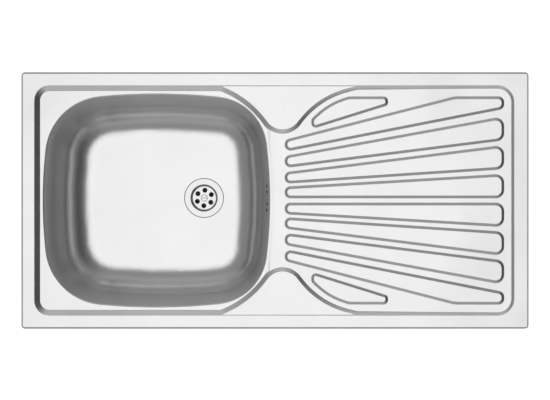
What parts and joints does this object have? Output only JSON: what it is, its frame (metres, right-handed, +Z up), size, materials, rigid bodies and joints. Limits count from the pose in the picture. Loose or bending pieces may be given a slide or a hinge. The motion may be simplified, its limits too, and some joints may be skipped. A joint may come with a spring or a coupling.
{
  "type": "inset kitchen sink with drainboard",
  "caption": "Inset stainless kitchen sink: one round-cornered bowl with strainer waste and overflow, ribbed drainboard, tap ledges, and swinging worktop clamps below.",
  "frame": {"origin": "middle of the rim's outline, on the worktop surface that the rim's seal lies on", "axes": "+X along the sink from the bowl to the drainboard, +Y across it, +Z up out of the bowl"},
  "size_m": [0.86, 0.435, 0.2173],
  "materials": {
    "stainless_sheet": "satin pressed sheet",
    "polished_steel": "polished",
    "plated_steel": "zinc plated",
    "white_plastic": "moulded",
    "grey_plastic": "moulded",
    "rubber": "matte",
    "foam_strip": "closed-cell foam",
    "damping_pad": "bitumen sheet",
    "brass": "turned"
  },
  "bodies": {
    "sink": {"bowl_and_drainboard": "stainless_sheet", "rim_seal": "foam_strip", "sound_pad": "damping_pad", "earth_tag": "plated_steel", "upper_waste_gasket": "rubber", "strainer_flange": "polished_steel", "waste_screw": "polished_steel", "lower_waste_gasket": "rubber", "waste_body": "white_plastic", "insert_nut": "brass", "overflow_gasket": "rubber", "overflow_hopper": "white_plastic", "overflow_insert": "brass", "overflow_screw": "polished_steel", "overflow_pipe": "white_plastic", "upper_pipe_nut": "grey_plastic", "upper_pipe_washer": "rubber", "lower_pipe_nut": "grey_plastic", "lower_pipe_washer": "rubber", "clamp_brackets": "plated_steel", "clamp_rivets": "plated_steel"},
    "guide_1": {"clamp_guide_1": "plated_steel"},
    "claw_1": {"clamp_claw_1": "plated_steel"},
    "screw_1": {"clamp_screw_1": "plated_steel"},
    "guide_2": {"clamp_guide_2": "plated_steel"},
    "claw_2": {"clamp_claw_2": "plated_steel"},
    "screw_2": {"clamp_screw_2": "plated_steel"},
    "guide_3": {"clamp_guide_3": "plated_steel"},
    "claw_3": {"clamp_claw_3": "plated_steel"},
    "screw_3": {"clamp_screw_3": "plated_steel"},
    "guide_4": {"clamp_guide_4": "plated_steel"},
    "claw_4": {"clamp_claw_4": "plated_steel"},
    "screw_4": {"clamp_screw_4": "plated_steel"},
    "guide_5": {"clamp_guide_5": "plated_steel"},
    "claw_5": {"clamp_claw_5": "plated_steel"},
    "screw_5": {"clamp_screw_5": "plated_steel"},
    "guide_6": {"clamp_guide_6": "plated_steel"},
    "claw_6": {"clamp_claw_6": "plated_steel"},
    "screw_6": {"clamp_screw_6": "plated_steel"},
    "guide_7": {"clamp_guide_7": "plated_steel"},
    "claw_7": {"clamp_claw_7": "plated_steel"},
    "screw_7": {"clamp_screw_7": "plated_steel"},
    "guide_8": {"clamp_guide_8": "plated_steel"},
    "claw_8": {"clamp_claw_8": "plated_steel"},
    "screw_8": {"clamp_screw_8": "plated_steel"}
  },
  "joints": [
    {"name": "swing_1", "type": "hinge", "parent": "sink", "child": "guide_1", "pos_m": [-0.3, 0.1998, -0.03], "axis": [0, 0, 1], "range_deg": [0, 90]},
    {"name": "lift_1", "type": "slide", "parent": "guide_1", "child": "claw_1", "axis": [0, 0, 1], "range_m": [0, 0.018]},
    {"name": "turn_1", "type": "hinge", "parent": "claw_1", "child": "screw_1", "pos_m": [-0.3, 0.1998, -0.03], "axis": [0, 0, 1], "range_deg": [0, 8100]},
    {"name": "swing_2", "type": "hinge", "parent": "sink", "child": "guide_2", "pos_m": [-0.05, 0.1998, -0.03], "axis": [0, 0, 1], "range_deg": [0, 90]},
    {"name": "lift_2", "type": "slide", "parent": "guide_2", "child": "claw_2", "axis": [0, 0, 1], "range_m": [0, 0.018]},
    {"name": "turn_2", "type": "hinge", "parent": "claw_2", "child": "screw_2", "pos_m": [-0.05, 0.1998, -0.03], "axis": [0, 0, 1], "range_deg": [0, 8100]},
    {"name": "swing_3", "type": "hinge", "parent": "sink", "child": "guide_3", "pos_m": [0.27, 0.1998, -0.03], "axis": [0, 0, 1], "range_deg": [0, 90]},
    {"name": "lift_3", "type": "slide", "parent": "guide_3", "child": "claw_3", "axis": [0, 0, 1], "range_m": [0, 0.018]},
    {"name": "turn_3", "type": "hinge", "parent": "claw_3", "child": "screw_3", "pos_m": [0.27, 0.1998, -0.03], "axis": [0, 0, 1], "range_deg": [0, 8100]},
    {"name": "swing_4", "type": "hinge", "parent": "sink", "child": "guide_4", "pos_m": [0.4123, 0, -0.03], "axis": [0, 0, 1], "range_deg": [0, 90]},
    {"name": "lift_4", "type": "slide", "parent": "guide_4", "child": "claw_4", "axis": [0, 0, 1], "range_m": [0, 0.018]},
    {"name": "turn_4", "type": "hinge", "parent": "claw_4", "child": "screw_4", "pos_m": [0.4123, 0, -0.03], "axis": [0, 0, 1], "range_deg": [0, 8100]},
    {"name": "swing_5", "type": "hinge", "parent": "sink", "child": "guide_5", "pos_m": [0.27, -0.1998, -0.03], "axis": [0, 0, 1], "range_deg": [0, 90]},
    {"name": "lift_5", "type": "slide", "parent": "guide_5", "child": "claw_5", "axis": [0, 0, 1], "range_m": [0, 0.018]},
    {"name": "turn_5", "type": "hinge", "parent": "claw_5", "child": "screw_5", "pos_m": [0.27, -0.1998, -0.03], "axis": [0, 0, 1], "range_deg": [0, 8100]},
    {"name": "swing_6", "type": "hinge", "parent": "sink", "child": "guide_6", "pos_m": [-0.05, -0.1998, -0.03], "axis": [0, 0, 1], "range_deg": [0, 90]},
    {"name": "lift_6", "type": "slide", "parent": "guide_6", "child": "claw_6", "axis": [0, 0, 1], "range_m": [0, 0.018]},
    {"name": "turn_6", "type": "hinge", "parent": "claw_6", "child": "screw_6", "pos_m": [-0.05, -0.1998, -0.03], "axis": [0, 0, 1], "range_deg": [0, 8100]},
    {"name": "swing_7", "type": "hinge", "parent": "sink", "child": "guide_7", "pos_m": [-0.3, -0.1998, -0.03], "axis": [0, 0, 1], "range_deg": [0, 90]},
    {"name": "lift_7", "type": "slide", "parent": "guide_7", "child": "claw_7", "axis": [0, 0, 1], "range_m": [0, 0.018]},
    {"name": "turn_7", "type": "hinge", "parent": "claw_7", "child": "screw_7", "pos_m": [-0.3, -0.1998, -0.03], "axis": [0, 0, 1], "range_deg": [0, 8100]},
    {"name": "swing_8", "type": "hinge", "parent": "sink", "child": "guide_8", "pos_m": [-0.4123, 0, -0.03], "axis": [0, 0, 1], "range_deg": [0, 90]},
    {"name": "lift_8", "type": "slide", "parent": "guide_8", "child": "claw_8", "axis": [0, 0, 1], "range_m": [0, 0.018]},
    {"name": "turn_8", "type": "hinge", "parent": "claw_8", "child": "screw_8", "pos_m": [-0.4123, 0, -0.03], "axis": [0, 0, 1], "range_deg": [0, 8100]}
  ],
  "couplings": [
    {"joint": "turn_1", "follows": "lift_1", "rad_per_m": 7854},
    {"joint": "turn_2", "follows": "lift_2", "rad_per_m": 7854},
    {"joint": "turn_3", "follows": "lift_3", "rad_per_m": 7854},
    {"joint": "turn_4", "follows": "lift_4", "rad_per_m": 7854},
    {"joint": "turn_5", "follows": "lift_5", "rad_per_m": 7854},
    {"joint": "turn_6", "follows": "lift_6", "rad_per_m": 7854},
    {"joint": "turn_7", "follows": "lift_7", "rad_per_m": 7854},
    {"joint": "turn_8", "follows": "lift_8", "rad_per_m": 7854}
  ]
}
